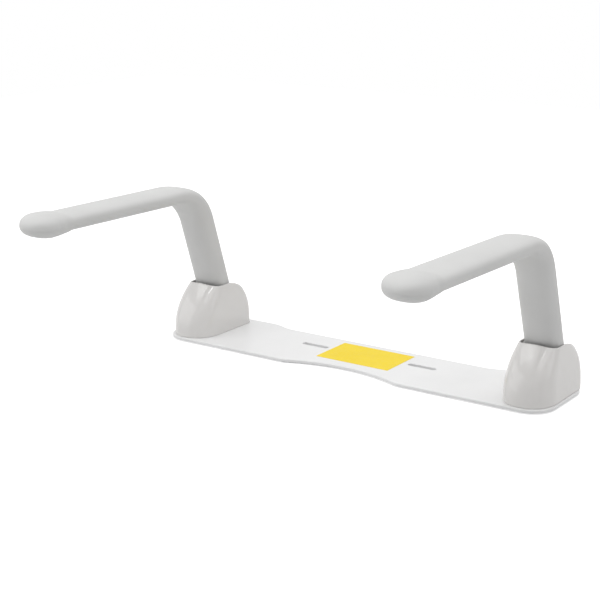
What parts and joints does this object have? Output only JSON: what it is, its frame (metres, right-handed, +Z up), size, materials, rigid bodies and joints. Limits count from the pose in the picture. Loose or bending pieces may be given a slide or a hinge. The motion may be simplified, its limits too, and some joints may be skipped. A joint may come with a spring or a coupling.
{
  "type": "toilet support rail",
  "caption": "Flat slotted plate clamped under a toilet seat by the seat's bolts, with a padded support arm at each end that swings up from a moulded cover.",
  "frame": {"origin": "centre of the pattern of the two seat-bolt slots, on the plate's underside", "axes": "+X along the plate, to the right arm of a person who sits down; +Y towards the cistern; +Z up. The arms reach along -Y."},
  "size_m": [0.542, 0.3835, 0.2123],
  "materials": {
    "white_powder_coat": "smooth white powder coat, satin",
    "yellow_film": "plain yellow self-adhesive film",
    "black_rubber": "matt moulded rubber",
    "zinc_steel": "bright zinc plate",
    "grey_gloss_plastic": "glossy moulded plastic, light warm grey",
    "white_nylon": "natural nylon",
    "grey_soft_foam": "soft-touch moulded foam skin, light warm grey, matt"
  },
  "bodies": {
    "base": {"base_plate": "white_powder_coat", "blank_sticker": "yellow_film", "underside_mat": "black_rubber", "corner_feet": "black_rubber", "bracket_bolts": "zinc_steel", "bracket_washers": "zinc_steel", "bracket_nuts": "zinc_steel", "cover_screws": "zinc_steel", "pivot_clips": "zinc_steel", "left_bracket": "zinc_steel", "left_cover": "grey_gloss_plastic", "left_pivot_pin": "zinc_steel", "left_rest_stop_bar": "zinc_steel", "left_rest_stop_buffer": "black_rubber", "left_raised_stop_bar": "zinc_steel", "left_raised_stop_buffer": "black_rubber", "right_bracket": "zinc_steel", "right_cover": "grey_gloss_plastic", "right_pivot_pin": "zinc_steel", "right_rest_stop_bar": "zinc_steel", "right_rest_stop_buffer": "black_rubber", "right_raised_stop_bar": "zinc_steel", "right_raised_stop_buffer": "black_rubber"},
    "left_arm": {"left_arm_tube": "zinc_steel", "left_cross_tube": "zinc_steel", "left_pivot_bushes": "white_nylon", "left_end_plug": "white_nylon", "left_foam_sleeve": "grey_soft_foam"},
    "right_arm": {"right_arm_tube": "zinc_steel", "right_cross_tube": "zinc_steel", "right_pivot_bushes": "white_nylon", "right_end_plug": "white_nylon", "right_foam_sleeve": "grey_soft_foam"}
  },
  "joints": [
    {"name": "left_arm_pivot", "type": "hinge", "parent": "base", "child": "left_arm", "pos_m": [-0.238, 0.0062, 0.032], "axis": [-1, 0, 0], "range_deg": [0, 90]},
    {"name": "right_arm_pivot", "type": "hinge", "parent": "base", "child": "right_arm", "pos_m": [0.238, 0.0062, 0.032], "axis": [-1, 0, 0], "range_deg": [0, 90]}
  ]
}
